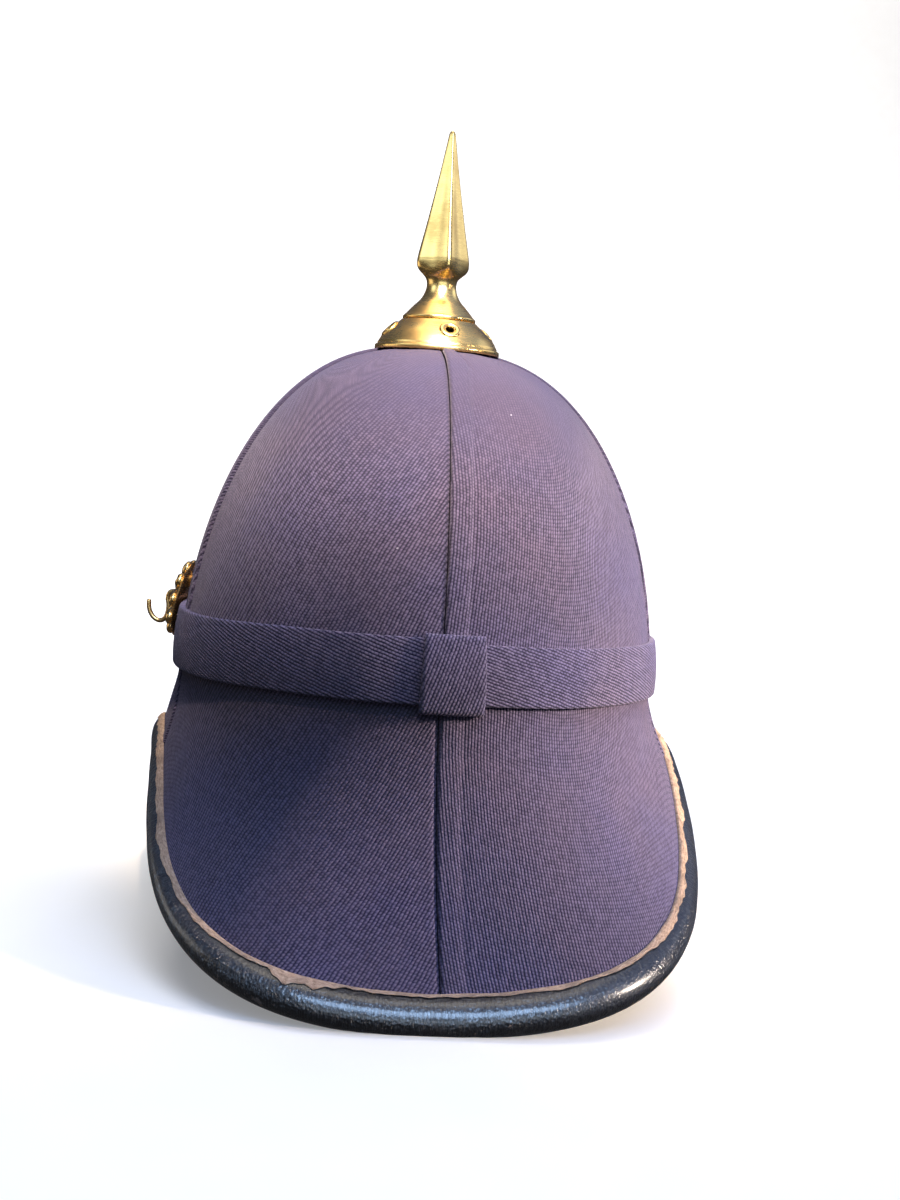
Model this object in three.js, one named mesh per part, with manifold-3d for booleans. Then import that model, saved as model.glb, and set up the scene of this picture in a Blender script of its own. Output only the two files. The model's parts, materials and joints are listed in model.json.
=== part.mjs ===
// Ceremonial police helmet: a high cork shell covered in four cloth panels, with a cloth band and
// its keeper round the crown, a leather-bound brim, a brass spike on a vented base, and a brass
// rosette at each side, the left one with a chain hook.
// Millimetres, +Z up, face towards -Y, wearer's left towards +X, standing on the ground at z = 0.
// Angles round the helmet run from the rear (+Y) towards the wearer's left.
import * as THREE from 'three';
import { mergeVertices } from 'three/addons/utils/BufferGeometryUtils.js';
import Module from 'manifold-3d';

const wasm = await Module();
wasm.setup();

// Driving dimensions
const CLEARANCE = 0.3;
const MERGE_DISTANCE = 1e-4;
const SHELL_WALL = 5;
const WAIST = { halfWidth: 97, halfLength: 114, squareness: 2, height: 101, sideDrop: 2 };
const CROWN = { top: 230, shoulder: 1.7, roundness: 2.68, ventRadius: 12 };
const RIM = { halfWidth: 105, reach: 160.5, rearSquareness: 3.05, frontSquareness: 2.3 };
const RIM_EDGE = { height: 4.2, earRise: 61, earRound: 0.4 };
const FLARE = { endSlope: 46, sideSlope: 5, pull: 0.38 };
const ASKEW = { shift: 3.5, fade: 1.3, tip: 3 };
const SIDE_SEAM_ANGLE = 75;
const BAND = { height: 22, hang: 1, standOff: 0.5, thickness: 2.4 };
const KEEPER = { width: 21.5, overhang: 2, thickness: 1.6, angle: -1.6 };
const BINDING = { lip: 9, lipEdge: 1 };
const FINIAL = { seat: 229.5, turn: -8 };
const VENT = { count: 4, radius: 20, rise: 7.6, hole: 2.1, border: 4.4, lift: 0.9, reach: 5, lean: 45 };
const SPIKE = { hollow: 0.12 };
const BOSS = { left: 106, right: -113, aboveBand: -4, standOff: 4.1, lean: 12.5 };
const BOSS_POST = { radius: 3.4, up: 8.4, foot: 1.2 };
const PETALS = [
  { count: 10, radius: 12.5, long: 4.7, wide: 4.2, high: 2.6, lift: 2.8 },
  { count: 6, radius: 5.6, long: 4.4, wide: 3.2, high: 2.6, lift: 4.3 },
];
const HOOK_WIRE = 2;

// Mesh fineness
const BACK_COLUMNS = 13;
const FRONT_COLUMNS = 16;
const BRIM_ROWS = 5;
const CROWN_ROWS = 12;
const KEEPER_COLUMNS = 4;
const SPIKE_SIDES = 16;
const BASE_SIDES = 18;
const VENT_SIDES = { border: 12, hole: 8 };
const BOSS_SIDES = { plate: 15, stem: 8 };
const PETAL_SIDES = { round: 6, over: 4 };
const WIRE_SIDES = { steps: 13, round: 5 };

// Colours read from cloth, leather and brass
const CLOTH = { color: 0x3a3350, roughness: 0.92, metalness: 0 };
const BAND_CLOTH = { color: 0x2c2947, roughness: 0.9, metalness: 0 };
const LEATHER = { color: 0x17191f, roughness: 0.42, metalness: 0 };
const BRASS = { color: 0xd0a247, roughness: 0.24, metalness: 1 };

const radians = THREE.MathUtils.degToRad;

// Shell form

function oval(angle, halfWidth, halfLength, squareness) {
  const across = Math.abs(Math.sin(angle) / halfWidth) ** squareness;
  const along = Math.abs(Math.cos(angle) / halfLength) ** squareness;
  return (across + along) ** (-1 / squareness);
}

function placed(angle, radius, height) {
  return new THREE.Vector3(radius * Math.sin(angle), radius * Math.cos(angle), height);
}

function waistRadius(angle) {
  return oval(angle, WAIST.halfWidth, WAIST.halfLength, WAIST.squareness);
}

function waistHeight(angle) {
  return WAIST.height - WAIST.sideDrop * Math.sin(angle) ** 2;
}

// The rim is lowest at the front and rear, rises smoothly over the ears and tips down to the left.
function rimHeight(angle) {
  const soften = (facing) => Math.hypot(facing, RIM_EDGE.earRound) - RIM_EDGE.earRound;
  const drop = soften(Math.abs(Math.cos(angle))) / soften(1);
  return RIM_EDGE.height + RIM_EDGE.earRise * (1 - drop) - ASKEW.tip * Math.sin(angle);
}

function rimRadius(angle) {
  const squareness = Math.cos(angle) > 0 ? RIM.rearSquareness : RIM.frontSquareness;
  return oval(angle, RIM.halfWidth, RIM.reach, squareness);
}

// Profile of the flare from the rim to the waist, as radius and height.
function brimCurve(angle) {
  const rim = new THREE.Vector2(rimRadius(angle), rimHeight(angle));
  const waist = new THREE.Vector2(waistRadius(angle), waistHeight(angle));
  const facing = Math.abs(Math.cos(angle));
  const slope = radians(THREE.MathUtils.lerp(FLARE.sideSlope, FLARE.endSlope, facing));
  const pull = FLARE.pull * (waist.y - rim.y);
  const rimPull = new THREE.Vector2(rim.x - pull * Math.sin(slope), rim.y + pull * Math.cos(slope));
  const waistPull = new THREE.Vector2(waist.x, waist.y - pull);
  return new THREE.CubicBezierCurve(rim, rimPull, waistPull, waist);
}

// How far the worn rear brim has been pushed to the wearer's right, most at its edge.
function brimShift(angle, share) {
  const rear = THREE.MathUtils.smoothstep(Math.cos(angle), -0.5, 0.5);
  return -ASKEW.shift * rear * (1 - share) ** ASKEW.fade;
}

// A point of the brim at a distance along the shell from its edge, straight on beyond either end.
function brimLine(angle, up) {
  const curve = brimCurve(angle);
  const length = curve.getLength();
  const share = THREE.MathUtils.clamp(up / length, 0, 1);
  const point = curve.getPointAt(share);
  point.addScaledVector(curve.getTangentAt(share), up - share * length);
  const sideways = new THREE.Vector3(brimShift(angle, Math.min(up / length, 1)), 0, 0);
  return placed(angle, point.x, point.y).add(sideways);
}

// A point of the crown at a height above the waist, straight down below the waist.
function crownLine(angle, rise) {
  const share = Math.max(rise, 0) / (CROWN.top - waistHeight(angle));
  const taper = (1 - share ** CROWN.shoulder) ** (1 / CROWN.roundness);
  return placed(angle, waistRadius(angle) * taper, waistHeight(angle) + rise);
}

// The height above the waist at which the crown closes in to the vent hole.
function ventRise(angle) {
  const narrowing = (CROWN.ventRadius / waistRadius(angle)) ** CROWN.roundness;
  return (1 - narrowing) ** (1 / CROWN.shoulder) * (CROWN.top - waistHeight(angle));
}

// A point that stands off one of the shell's lines by a distance along its outward normal.
function standOff(line, angle, run, distance) {
  const turn = 0.001;
  const step = 0.01;
  const round = line(angle + turn, run).sub(line(angle - turn, run));
  const upward = line(angle, run + step).sub(line(angle, run - step));
  return line(angle, run).addScaledVector(upward.cross(round).normalize(), distance);
}

// Solids swept from loops of points

const radialPlane = (point) => new THREE.Vector2(Math.hypot(point.x, point.y), point.z);
const levelPlane = (point) => new THREE.Vector2(point.x, point.y);

function signedVolume(points, triangles) {
  const volumeOf = ([a, b, c]) => points[a].dot(new THREE.Vector3().crossVectors(points[b], points[c]));
  return triangles.reduce((sum, triangle) => sum + volumeOf(triangle), 0);
}

// Triangles that close a loop, wound the way the loop runs.
function capTriangles(loop, plane) {
  const outline = loop.map(plane);
  const wound = Math.sign(THREE.ShapeUtils.area(outline));
  return THREE.ShapeUtils.triangulateShape(outline, []).map(([a, b, c]) => {
    const same = Math.sign(THREE.ShapeUtils.area([outline[a], outline[b], outline[c]])) === wound;
    return same ? [a, b, c] : [a, c, b];
  });
}

// A closed solid through equal loops of points, either a ring or a run with a cap at each end.
function sweptSolid(loops, { ring = false, plane = radialPlane } = {}) {
  const size = loops[0].length;
  const triangles = [];
  const spans = ring ? loops.length : loops.length - 1;
  for (let span = 0; span < spans; span += 1) {
    const here = span * size;
    const next = ((span + 1) % loops.length) * size;
    for (let k = 0; k < size; k += 1) {
      const after = (k + 1) % size;
      triangles.push([here + k, next + k, next + after], [here + k, next + after, here + after]);
    }
  }
  if (!ring) {
    const last = (loops.length - 1) * size;
    const near = capTriangles(loops[0], plane);
    const far = capTriangles(loops.at(-1), plane);
    triangles.push(...near, ...far.map(([a, b, c]) => [last + a, last + c, last + b]));
  }
  const points = loops.flat();
  const outward = signedVolume(points, triangles) > 0;
  const wound = outward ? triangles : triangles.map(([a, b, c]) => [a, c, b]);
  const geometry = new THREE.BufferGeometry().setFromPoints(points);
  geometry.setIndex(wound.flat());
  geometry.computeVertexNormals();
  return geometry;
}

function spread(from, to, steps) {
  return Array.from({ length: steps + 1 }, (_, k) => from + ((to - from) * k) / steps);
}

// Joining and cutting

function toSolid(geometry) {
  const bare = geometry.clone();
  bare.deleteAttribute('normal');
  bare.deleteAttribute('uv');
  const merged = mergeVertices(bare, MERGE_DISTANCE);
  const vertProperties = new Float32Array(merged.attributes.position.array);
  const triVerts = new Uint32Array(merged.index.array);
  return new wasm.Manifold(new wasm.Mesh({ numProp: 3, vertProperties, triVerts }));
}

function toGeometry(solid) {
  const { vertProperties, triVerts } = solid.getMesh();
  const geometry = new THREE.BufferGeometry();
  geometry.setAttribute('position', new THREE.BufferAttribute(new Float32Array(vertProperties), 3));
  geometry.setIndex(new THREE.BufferAttribute(new Uint32Array(triVerts), 1));
  geometry.computeVertexNormals();
  return geometry;
}

function joined(geometries) {
  return geometries.map(toSolid).reduce((whole, solid) => whole.add(solid));
}

function namedMesh(name, geometry, look) {
  const mesh = new THREE.Mesh(geometry, new THREE.MeshStandardMaterial(look));
  mesh.name = name;
  return mesh;
}

// Shell panels

const SEAM_PANELS = [
  { name: 'panel_back_left', from: 0, to: SIDE_SEAM_ANGLE, columns: BACK_COLUMNS },
  { name: 'panel_front_left', from: SIDE_SEAM_ANGLE, to: 180, columns: FRONT_COLUMNS },
  { name: 'panel_front_right', from: 180, to: 360 - SIDE_SEAM_ANGLE, columns: FRONT_COLUMNS },
  { name: 'panel_back_right', from: 360 - SIDE_SEAM_ANGLE, to: 360, columns: BACK_COLUMNS },
];

function panelAngles({ from, to, columns }) {
  return spread(radians(from), radians(to), columns);
}

// One loop of a panel at an angle: up the outer face from the rim to the vent, and down the inner.
function panelLoop(angle) {
  const length = brimCurve(angle).getLength();
  const held = BINDING.lip;
  const brimRuns = [0, held / 2, ...spread(held, length, BRIM_ROWS).slice(0, -1)];
  const crownRises = spread(0, Math.PI / 2, CROWN_ROWS).map((turn) => ventRise(angle) * Math.sin(turn));
  const face = (distance) => [
    ...brimRuns.map((up) => standOff(brimLine, angle, up, distance)),
    ...crownRises.map((rise) => standOff(crownLine, angle, rise, distance)),
  ];
  return [...face(0), ...face(-SHELL_WALL).reverse()];
}

function shellPanel(panel) {
  const angles = panelAngles(panel);
  const loops = angles.map(panelLoop);
  const inset = (loop, angle, way) => {
    const sideways = new THREE.Vector3(Math.cos(angle), -Math.sin(angle), 0);
    loop.forEach((point) => point.addScaledVector(sideways, (way * CLEARANCE) / 2));
  };
  inset(loops[0], angles[0], 1);
  inset(loops.at(-1), angles.at(-1), -1);
  return namedMesh(panel.name, sweptSolid(loops), CLOTH);
}

const ringAngles = SEAM_PANELS.flatMap((panel) => panelAngles(panel).slice(0, -1));

// Band and keeper

function bandMesh() {
  const outer = BAND.standOff + BAND.thickness;
  const edge = BAND.thickness / 3;
  const section = [
    { rise: -BAND.hang, out: BAND.standOff },
    { rise: -BAND.hang, out: outer - edge },
    { rise: 0, out: outer },
    { rise: BAND.height / 2, out: outer },
    { rise: BAND.height - edge, out: outer },
    { rise: BAND.height, out: outer - edge },
    { rise: BAND.height, out: BAND.standOff },
    { rise: BAND.height / 2, out: BAND.standOff },
  ];
  const loopAt = (angle) => section.map(({ rise, out }) => standOff(crownLine, angle, rise, out));
  return namedMesh('band', sweptSolid(ringAngles.map(loopAt), { ring: true }), BAND_CLOTH);
}

// A loop of cloth closed round the band's front and both edges, open towards the crown.
function keeperMesh() {
  const under = BAND.standOff + BAND.thickness + CLEARANCE;
  const face = under + KEEPER.thickness;
  const foot = -BAND.hang - CLEARANCE;
  const head = BAND.height + CLEARANCE;
  const lip = KEEPER.overhang;
  const section = [
    { rise: foot, out: BAND.standOff },
    { rise: foot, out: under },
    { rise: 0, out: under },
    { rise: BAND.height / 2, out: under },
    { rise: head, out: under },
    { rise: head, out: BAND.standOff },
    { rise: head + lip, out: BAND.standOff },
    { rise: head + lip, out: under },
    { rise: head + lip / 2, out: face - CLEARANCE },
    { rise: head - lip / 2, out: face },
    { rise: BAND.height / 2, out: face },
    { rise: foot + lip / 2, out: face },
    { rise: foot - lip / 2, out: face - CLEARANCE },
    { rise: foot - lip, out: under },
    { rise: foot - lip, out: BAND.standOff },
  ];
  const reach = KEEPER.width / 2 / (WAIST.halfLength + face);
  const middle = radians(KEEPER.angle);
  const angles = spread(middle - reach, middle + reach, KEEPER_COLUMNS);
  const loopAt = (angle) => section.map(({ rise, out }) => standOff(crownLine, angle, rise, out));
  return namedMesh('keeper', sweptSolid(angles.map(loopAt)), BAND_CLOTH);
}

// Outer side of the binding, from the outer lip under the shell's edge to the inner lip:
// up runs along the shell from its edge, out stands off the shell's outer face.
const BINDING_ROLL = [
  { up: 7.6, out: 2.2 },
  { up: 4.6, out: 3.4 },
  { up: 1.4, out: 3.5 },
  { up: -1.9, out: 1.8 },
  { up: -3.6, out: -1.8 },
  { up: -2.9, out: -5.3 },
  { up: 0.4, out: -7.9 },
];

// Leather folded over the shell's edge.
function bindingMesh() {
  const { lip, lipEdge } = BINDING;
  const inside = -SHELL_WALL - CLEARANCE;
  const section = [
    { up: lip, out: CLEARANCE },
    { up: lip, out: CLEARANCE + lipEdge },
    ...BINDING_ROLL,
    { up: lip, out: inside - lipEdge },
    { up: lip, out: inside },
    { up: lip / 2, out: inside },
    { up: -CLEARANCE, out: inside },
    { up: -CLEARANCE, out: CLEARANCE },
    { up: lip / 2, out: CLEARANCE },
  ];
  // The leather is pressed flat where the helmet stands on it.
  const loopAt = (angle) => section.map(({ up, out }) => {
    const point = standOff(brimLine, angle, up, out);
    point.z = Math.max(point.z, 0);
    return point;
  });
  return namedMesh('brim_binding', sweptSolid(ringAngles.map(loopAt), { ring: true }), LEATHER);
}

// Spike and its base

// Rows from the foot to the tip: half is the distance to a ridge, square runs from round to four-sided.
const SPIKE_ROWS = [
  { rise: 12.8, half: 15, square: 0 },
  { rise: 14.2, half: 15, square: 0 },
  { rise: 16.4, half: 12.7, square: 0 },
  { rise: 18.7, half: 10.6, square: 0 },
  { rise: 21, half: 8.4, square: 0 },
  { rise: 23.8, half: 6.8, square: 0 },
  { rise: 27, half: 6.1, square: 0 },
  { rise: 29.8, half: 6.6, square: 0.1 },
  { rise: 32.2, half: 8.8, square: 0.4 },
  { rise: 34.2, half: 11.3, square: 0.8 },
  { rise: 36.4, half: 11.7, square: 1 },
  { rise: 54, half: 8, square: 1 },
  { rise: 72, half: 4.4, square: 0.9 },
  { rise: 88.4, half: 1.5, square: 0.6 },
  { rise: 89.7, half: 0.7, square: 0 },
];

function spikeRadius(turn, { half, square }) {
  const quarter = Math.PI / 2;
  const across = ((turn % quarter) + quarter) % quarter;
  const flat = Math.cos(quarter / 2) / Math.cos(across - quarter / 2);
  const hollow = 1 - SPIKE.hollow * Math.sin(2 * across) ** 2;
  return half * THREE.MathUtils.lerp(1, flat * hollow, square);
}

function finialMesh(name, geometry) {
  const mesh = namedMesh(name, geometry, BRASS);
  mesh.position.z = FINIAL.seat;
  mesh.rotation.z = -radians(FINIAL.turn);
  return mesh;
}

function spikeMesh() {
  const turns = spread(0, 2 * Math.PI, SPIKE_SIDES).slice(0, -1);
  const loopAt = (row) => turns.map((turn) => placed(turn, spikeRadius(turn, row), row.rise));
  return finialMesh('spike', sweptSolid(SPIKE_ROWS.map(loopAt), { plane: levelPlane }));
}

// Half section of the base from the axis inside, out under the lip and up to the axis on top.
const BASE_PROFILE = [
  { radius: 0, rise: 10.8 },
  { radius: 13.6, rise: 10.8 },
  { radius: 18.6, rise: 6.8 },
  { radius: 22.6, rise: 2.2 },
  { radius: 22.6, rise: 0 },
  { radius: 25.75, rise: -0.4 },
  { radius: 25.75, rise: 1.6 },
  { radius: 24.6, rise: 2.3 },
  { radius: 23.3, rise: 5 },
  { radius: 19.3, rise: 9.2 },
  { radius: 15.5, rise: 12.5 },
  { radius: 0, rise: 12.5 },
];

function turnedSolid(profile, sides) {
  const outline = profile.map(({ radius, rise }) => new THREE.Vector2(radius, rise));
  return new THREE.LatheGeometry(outline, sides).rotateX(Math.PI / 2);
}

// A drum round the z axis between two heights.
function drum(radius, low, high, sides) {
  const geometry = new THREE.CylinderGeometry(radius, radius, high - low, sides);
  return geometry.rotateX(Math.PI / 2).translate(0, 0, (low + high) / 2);
}

// Spun brass dome with a lip, open underneath, pierced by round vents with raised borders.
function spikeBaseMesh() {
  const dome = turnedSolid(BASE_PROFILE, BASE_SIDES);
  const atVent = (geometry, k) => {
    geometry.rotateX(-radians(VENT.lean)).translate(0, VENT.radius, VENT.rise);
    return geometry.rotateZ((2 * Math.PI * k) / VENT.count);
  };
  const vents = spread(0, VENT.count - 1, VENT.count - 1);
  const borders = vents.map((k) => atVent(drum(VENT.border, -VENT.lift, VENT.lift, VENT_SIDES.border), k));
  const holes = vents.map((k) => atVent(drum(VENT.hole, -VENT.reach, VENT.reach, VENT_SIDES.hole), k));
  const pierced = joined([dome, ...borders]).subtract(joined(holes));
  return finialMesh('spike_base', toGeometry(pierced));
}

// Side rosettes: local x runs up the crown, z stands out from it.

function petalRing({ count, radius, long, wide, high, lift }, seat) {
  return spread(0, count - 1, count - 1).map((k) => {
    const petal = new THREE.SphereGeometry(1, PETAL_SIDES.round, PETAL_SIDES.over);
    petal.scale(long, wide, high);
    petal.translate(radius, 0, seat + lift);
    return petal.rotateZ((2 * Math.PI * (k + 0.5)) / count);
  });
}

// An S of wire that stands out of the rosette's middle and turns up into a chain hook.
function hookWire(seat) {
  const route = [
    { up: 1.2, out: 3 },
    { up: 1.4, out: 6 },
    { up: 0.2, out: 8.4 },
    { up: -2.4, out: 8.7 },
    { up: -5.2, out: 7.6 },
    { up: -8.6, out: 7.1 },
    { up: -11.6, out: 7.7 },
    { up: -13, out: 10 },
    { up: -12, out: 13 },
    { up: -9.4, out: 15.2 },
    { up: -6.2, out: 16.3 },
  ];
  const points = route.map(({ up, out }) => new THREE.Vector3(up, 0, seat + out));
  const extrudePath = new THREE.CatmullRomCurve3(points);
  const half = HOOK_WIRE / 2;
  const turns = spread(0, 2 * Math.PI, WIRE_SIDES.round).slice(0, -1);
  const rim = turns.map((turn) => new THREE.Vector2(half * Math.cos(turn), half * Math.sin(turn)));
  return new THREE.ExtrudeGeometry(new THREE.Shape(rim), { steps: WIRE_SIDES.steps, extrudePath });
}

// Half section of the rosette's dished plate, over its seat.
const PLATE_PROFILE = [
  { radius: 0, rise: 0 },
  { radius: 16.2, rise: 0 },
  { radius: 17.1, rise: 0.9 },
  { radius: 9.2, rise: 4.2 },
  { radius: 0, rise: 4.8 },
];

function bossGeometry(hooked) {
  const seat = BOSS.standOff;
  const plate = turnedSolid(PLATE_PROFILE, BOSS_SIDES.plate).translate(0, 0, seat);
  const stem = drum(BOSS_POST.radius, BOSS_POST.foot, seat + CLEARANCE, BOSS_SIDES.stem)
    .translate(BOSS_POST.up, 0, 0);
  const petals = PETALS.flatMap((ring) => petalRing(ring, seat));
  const hooks = hooked ? [hookWire(seat)] : [];
  return toGeometry(joined([plate, stem, ...petals, ...hooks]));
}

function bossMesh(name, angle, hooked) {
  const mesh = namedMesh(name, bossGeometry(hooked), BRASS);
  mesh.rotation.set(Math.PI, radians(90 + BOSS.lean), 0);
  const rise = BAND.height + BOSS.aboveBand;
  const foot = crownLine(radians(angle), rise);
  const outward = standOff(crownLine, radians(angle), rise, 1).sub(foot);
  const turned = new THREE.Group().add(mesh);
  turned.position.copy(foot);
  turned.rotation.z = Math.atan2(outward.y, outward.x);
  return turned;
}

const helmet = new THREE.Group();
helmet.add(...SEAM_PANELS.map(shellPanel));
helmet.add(bandMesh(), keeperMesh(), bindingMesh());
helmet.add(spikeBaseMesh(), spikeMesh());
helmet.add(bossMesh('side_boss_left', BOSS.left, true), bossMesh('side_boss_right', BOSS.right, false));

export default helmet;
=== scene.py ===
"""Looks of a ceremonial police helmet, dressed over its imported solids.

The frame has +Z up, the face towards -Y and the wearer's left towards +X. Lengths here are
millimetres unless a name says otherwise, and angles round the helmet run from the rear (+Y)
towards the wearer's left. Seen from outside, that is from right to left.
"""
import json
import math

import bmesh
import bpy
import numpy as np
from mathutils import Matrix, Vector

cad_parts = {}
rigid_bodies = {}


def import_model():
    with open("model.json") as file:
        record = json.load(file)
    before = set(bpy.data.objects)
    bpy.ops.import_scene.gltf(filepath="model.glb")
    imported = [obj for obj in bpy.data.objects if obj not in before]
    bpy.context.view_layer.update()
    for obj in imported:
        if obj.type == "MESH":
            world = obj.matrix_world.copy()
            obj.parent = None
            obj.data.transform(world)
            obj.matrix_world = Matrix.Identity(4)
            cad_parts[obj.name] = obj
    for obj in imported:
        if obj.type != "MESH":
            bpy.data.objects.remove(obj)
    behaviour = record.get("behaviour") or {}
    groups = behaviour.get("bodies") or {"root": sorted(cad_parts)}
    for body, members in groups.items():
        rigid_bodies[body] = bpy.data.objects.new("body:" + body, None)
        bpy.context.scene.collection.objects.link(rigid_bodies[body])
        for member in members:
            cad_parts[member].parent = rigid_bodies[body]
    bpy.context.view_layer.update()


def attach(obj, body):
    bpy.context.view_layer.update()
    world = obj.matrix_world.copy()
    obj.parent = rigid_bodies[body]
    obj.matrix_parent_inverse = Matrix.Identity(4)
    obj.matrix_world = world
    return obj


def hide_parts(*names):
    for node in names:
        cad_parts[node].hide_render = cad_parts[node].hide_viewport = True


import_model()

MM = 0.001
WEAVE = "weave"
SHARP_DEGREES = 50

# Shell form
SHELL_WALL = 5
WAIST = {"half_width": 97, "half_length": 114, "height": 101, "side_drop": 2}
CROWN = {"top": 230, "shoulder": 1.7, "roundness": 2.68, "vent_radius": 12}
RIM = {"half_width": 105, "reach": 160.5, "rear_squareness": 3.05, "front_squareness": 2.3}
RIM_EDGE = {"height": 4.2, "ear_rise": 61, "ear_round": 0.4}
FLARE = {"end_slope": 46, "side_slope": 5, "pull": 0.38}
ASKEW = {"shift": 3.5, "fade": 1.3, "tip": 3}
SIDE_SEAM_DEGREES = 75

# Camera, aimed at a point on the helmet's axis and then shifted and rolled
CAMERA = {"azimuth": 5.1, "elevation": 5.9, "roll": 4.3, "distance": 650, "axis_height": 120}
CAMERA_AIM = {"right": 13.2, "up": 7.3}
CAMERA_LENS = {"focal": 46.4, "sensor": 36}


# Shell surface

def smoothstep(low, high, value):
    share = np.clip((value - low) / (high - low), 0, 1)
    return share * share * (3 - 2 * share)


def oval(angle, half_width, half_length, squareness=2):
    across = np.abs(np.sin(angle) / half_width) ** squareness
    along = np.abs(np.cos(angle) / half_length) ** squareness
    return (across + along) ** (-1 / squareness)


def placed(angle, radius, height):
    return np.stack([radius * np.sin(angle), radius * np.cos(angle), height + 0 * radius], -1)


def waist_radius(angle):
    return oval(angle, WAIST["half_width"], WAIST["half_length"])


def waist_height(angle):
    return WAIST["height"] - WAIST["side_drop"] * np.sin(angle) ** 2


def rim_height(angle):
    """The rim is lowest at the front and rear, rises over the ears and tips down to the left."""
    def soften(facing):
        return np.hypot(facing, RIM_EDGE["ear_round"]) - RIM_EDGE["ear_round"]
    drop = soften(np.abs(np.cos(angle))) / soften(1)
    return RIM_EDGE["height"] + RIM_EDGE["ear_rise"] * (1 - drop) - ASKEW["tip"] * np.sin(angle)


def rim_radius(angle):
    squareness = np.where(np.cos(angle) > 0, RIM["rear_squareness"], RIM["front_squareness"])
    return oval(angle, RIM["half_width"], RIM["reach"], squareness)


def brim_profile(angle, share):
    """Radius and height of the flare, from the rim at share 0 to the waist at share 1."""
    rim_r, rim_z = rim_radius(angle), rim_height(angle)
    waist_r, waist_z = waist_radius(angle), waist_height(angle)
    facing = np.abs(np.cos(angle))
    slope = np.radians(FLARE["side_slope"] + (FLARE["end_slope"] - FLARE["side_slope"]) * facing)
    pull = FLARE["pull"] * (waist_z - rim_z)
    rest = 1 - share

    def curve(start, start_pull, end_pull, end):
        near = start * rest ** 3 + 3 * start_pull * share * rest ** 2
        return near + 3 * end_pull * share ** 2 * rest + end * share ** 3
    radius = curve(rim_r, rim_r - pull * np.sin(slope), waist_r, waist_r)
    height = curve(rim_z, rim_z + pull * np.cos(slope), waist_z - pull, waist_z)
    return radius, height


def brim_shift(angle, share):
    """How far the worn rear brim has been pushed to the wearer's right, most at its edge."""
    rear = smoothstep(-0.5, 0.5, np.cos(angle))
    return -ASKEW["shift"] * rear * (1 - np.minimum(share, 1)) ** ASKEW["fade"]


def crown_line(angle, rise):
    """A point of the crown at a height above the waist, straight down below the waist."""
    share = np.maximum(rise, 0) / (CROWN["top"] - waist_height(angle))
    taper = np.clip(1 - share ** CROWN["shoulder"], 0, 1) ** (1 / CROWN["roundness"])
    return placed(angle, waist_radius(angle) * taper, waist_height(angle) + rise)


def vent_rise(angle):
    """The height above the waist at which the crown closes in to the vent hole."""
    narrowing = (CROWN["vent_radius"] / waist_radius(angle)) ** CROWN["roundness"]
    return (1 - narrowing) ** (1 / CROWN["shoulder"]) * (CROWN["top"] - waist_height(angle))


def shell_line(angle, row):
    """A point of the shell, with row from 0 at the rim by 1 at the waist to 2 at the vent."""
    share = np.clip(row, 0, 1)
    brim = placed(angle, *brim_profile(angle, share))
    brim[..., 0] += brim_shift(angle, share)
    turn = np.clip(row - 1, 0, 1) * math.pi / 2
    crown = crown_line(angle, vent_rise(angle) * np.sin(turn))
    return np.where((row < 1)[..., None], brim, crown)


EDGE_SAMPLES = 60
EDGE_SHARE = 0.4


def brim_line(angle, up):
    """A point of the brim at a distance along the shell from its edge, straight on below it."""
    shares = np.linspace(0, EDGE_SHARE, EDGE_SAMPLES)
    radius, height = brim_profile(angle[..., None], shares)
    steps = np.hypot(np.diff(radius), np.diff(height))
    run = np.concatenate([0 * steps[..., :1], np.cumsum(steps, -1)], -1)
    spot = np.clip((run < up[..., None]).sum(-1) - 1, 0, EDGE_SAMPLES - 2)[..., None]

    def pick(values, at):
        return np.take_along_axis(values, at, -1)[..., 0]

    between = (up - pick(run, spot)) / (pick(run, spot + 1) - pick(run, spot))

    def along(values):
        return pick(values, spot) * (1 - between) + pick(values, spot + 1) * between
    point = placed(angle, along(radius), along(height))
    point[..., 0] += brim_shift(angle, along(shares + 0 * radius))
    return point


def stand_off(line, angle, run, distance):
    """Points that stand off one of the shell's lines by a distance along its outward normal."""
    turn, step = 0.001, 0.004
    sideways = line(angle + turn, run) - line(angle - turn, run)
    upward = line(angle, run + step) - line(angle, run - step)
    normal = np.cross(upward, sideways)
    normal /= np.linalg.norm(normal, axis=-1, keepdims=True)
    return line(angle, run) + normal * np.asarray(distance)[..., None]


# Small shaping tools

def round_turns(count):
    """Even turns round a full circle, without its end."""
    return np.linspace(0, 2 * math.pi, count, endpoint=False)


def turn_from(angle, degrees):
    """The shorter way round from a direction to an angle."""
    return np.angle(np.exp(1j * (angle - math.radians(degrees))))


def run_along(points):
    """Distance along a row of points from the first of them."""
    steps = np.linalg.norm(np.diff(points, axis=0), axis=-1)
    return np.concatenate([[0], np.cumsum(steps)])


# Seed, waves round the helmet and size of each uneven edge or surface
WAVES = {
    "band_rise": (11, range(3, 12), 0.15),
    "band_out": (12, range(3, 14), 0.12),
    "leather": (21, range(9, 40), 0.035),
    "raw_width": (31, range(20, 60), 0.3),
    "raw_fringe": (32, range(60, 220), 0.22),
    "raw_tear": (33, range(90, 260), 0.25),
    "raw_top": (34, range(15, 50), 0.18),
    "raw_lift": (35, range(40, 160), 0.15),
}


def wobble(angle, name):
    """A smooth irregular wave that closes round the helmet, the same at each run."""
    seed, waves, amount = WAVES[name]
    rng = np.random.default_rng(seed)
    total = 0 * angle
    for wave in waves:
        total = total + rng.normal() * np.sin(wave * angle + rng.uniform(0, 2 * math.pi))
    return amount * total / math.sqrt(len(waves))


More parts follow.
